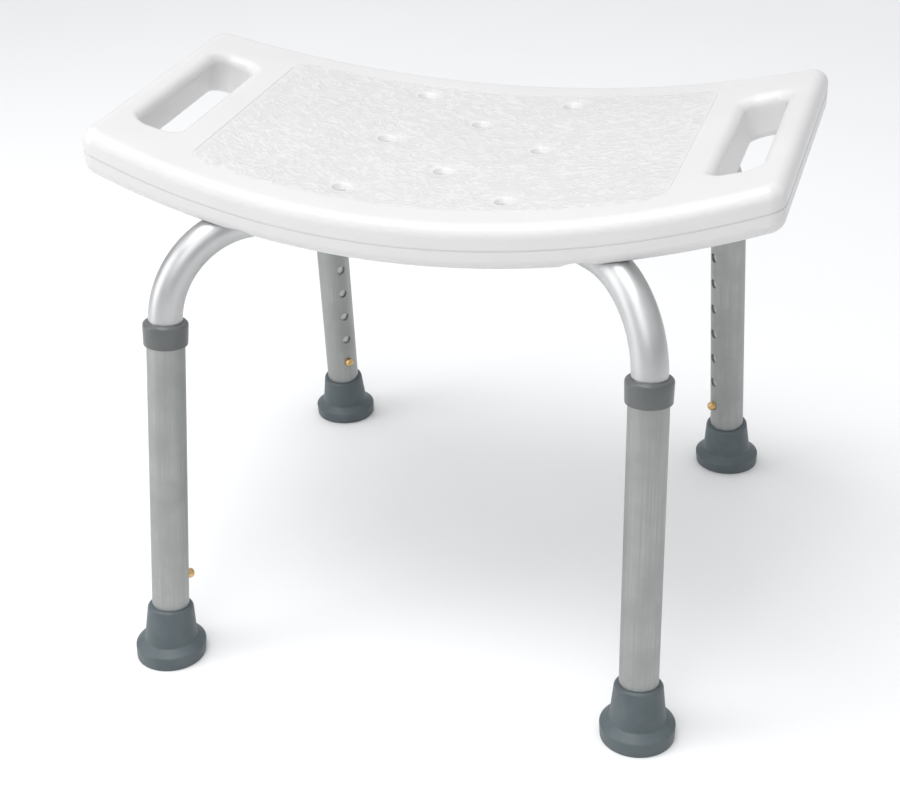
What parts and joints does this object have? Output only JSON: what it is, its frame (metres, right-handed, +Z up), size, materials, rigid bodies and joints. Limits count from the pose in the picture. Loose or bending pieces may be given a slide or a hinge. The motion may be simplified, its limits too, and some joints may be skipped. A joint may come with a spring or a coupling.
{
  "type": "shower stool",
  "caption": "Backless shower stool: a dished white plastic seat with hand slots and drain holes on splayed tube legs that adjust in height with snap buttons.",
  "frame": {"origin": "on the floor, under the middle of the seat, with the legs at their lowest setting", "axes": "+X along the seat's length, +Y towards its back edge, +Z up"},
  "size_m": [0.506, 0.4604, 0.3964],
  "materials": {
    "seat_plastic": "white blow-moulded polyethylene, crinkle grain on the sunken panel",
    "bright_tube": "bright satin anodised, drawn lengthwise",
    "satin_tube": "fine satin anodised",
    "collar_plastic": "grey moulded nylon",
    "tip_rubber": "blue-grey moulded rubber",
    "brass": "plain turned brass",
    "spring_steel": "blued spring steel strip",
    "zinc_steel": "zinc-plated steel",
    "plug_plastic": "black moulded plastic"
  },
  "bodies": {
    "stool": {"seat": "seat_plastic", "centre_plate": "zinc_steel", "screws": "zinc_steel", "threaded_inserts": "brass", "upper_leg_front_left": "bright_tube", "end_plug_front_left": "plug_plastic", "leaf_spring_front_left": "spring_steel", "upper_leg_front_right": "bright_tube", "end_plug_front_right": "plug_plastic", "leaf_spring_front_right": "spring_steel", "upper_leg_rear_left": "bright_tube", "end_plug_rear_left": "plug_plastic", "leaf_spring_rear_left": "spring_steel", "upper_leg_rear_right": "bright_tube", "end_plug_rear_right": "plug_plastic", "leaf_spring_rear_right": "spring_steel"},
    "lower_leg_front_left": {"leg_extension_front_left": "satin_tube", "collar_front_left": "collar_plastic", "tip_front_left": "tip_rubber", "tip_washer_front_left": "zinc_steel"},
    "button_front_left": {"snap_button_front_left": "brass"},
    "lower_leg_front_right": {"leg_extension_front_right": "satin_tube", "collar_front_right": "collar_plastic", "tip_front_right": "tip_rubber", "tip_washer_front_right": "zinc_steel"},
    "button_front_right": {"snap_button_front_right": "brass"},
    "lower_leg_rear_left": {"leg_extension_rear_left": "satin_tube", "collar_rear_left": "collar_plastic", "tip_rear_left": "tip_rubber", "tip_washer_rear_left": "zinc_steel"},
    "button_rear_left": {"snap_button_rear_left": "brass"},
    "lower_leg_rear_right": {"leg_extension_rear_right": "satin_tube", "collar_rear_right": "collar_plastic", "tip_rear_right": "tip_rubber", "tip_washer_rear_right": "zinc_steel"},
    "button_rear_right": {"snap_button_rear_right": "brass"}
  },
  "joints": [
    {"name": "height_front_left", "type": "slide", "parent": "stool", "child": "lower_leg_front_left", "axis": [-0.0259, -0.1326, -0.9908], "range_m": [0, 0.1524]},
    {"name": "press_front_left", "type": "slide", "parent": "stool", "child": "button_front_left", "axis": [-0.7446, -0.6588, 0.1076], "range_m": [0, 0.0065], "stiffness_N_per_m": 600, "springref_m": -0.004, "deforming": ["leaf_spring_front_left"]},
    {"name": "height_front_right", "type": "slide", "parent": "stool", "child": "lower_leg_front_right", "axis": [0.0259, -0.1326, -0.9908], "range_m": [0, 0.1524]},
    {"name": "press_front_right", "type": "slide", "parent": "stool", "child": "button_front_right", "axis": [0.7446, -0.6588, 0.1076], "range_m": [0, 0.0065], "stiffness_N_per_m": 600, "springref_m": -0.004, "deforming": ["leaf_spring_front_right"]},
    {"name": "height_rear_left", "type": "slide", "parent": "stool", "child": "lower_leg_rear_left", "axis": [-0.0259, 0.1326, -0.9908], "range_m": [0, 0.1524]},
    {"name": "press_rear_left", "type": "slide", "parent": "stool", "child": "button_rear_left", "axis": [-0.7446, 0.6588, 0.1076], "range_m": [0, 0.0065], "stiffness_N_per_m": 600, "springref_m": -0.004, "deforming": ["leaf_spring_rear_left"]},
    {"name": "height_rear_right", "type": "slide", "parent": "stool", "child": "lower_leg_rear_right", "axis": [0.0259, 0.1326, -0.9908], "range_m": [0, 0.1524]},
    {"name": "press_rear_right", "type": "slide", "parent": "stool", "child": "button_rear_right", "axis": [0.7446, 0.6588, 0.1076], "range_m": [0, 0.0065], "stiffness_N_per_m": 600, "springref_m": -0.004, "deforming": ["leaf_spring_rear_right"]}
  ]
}
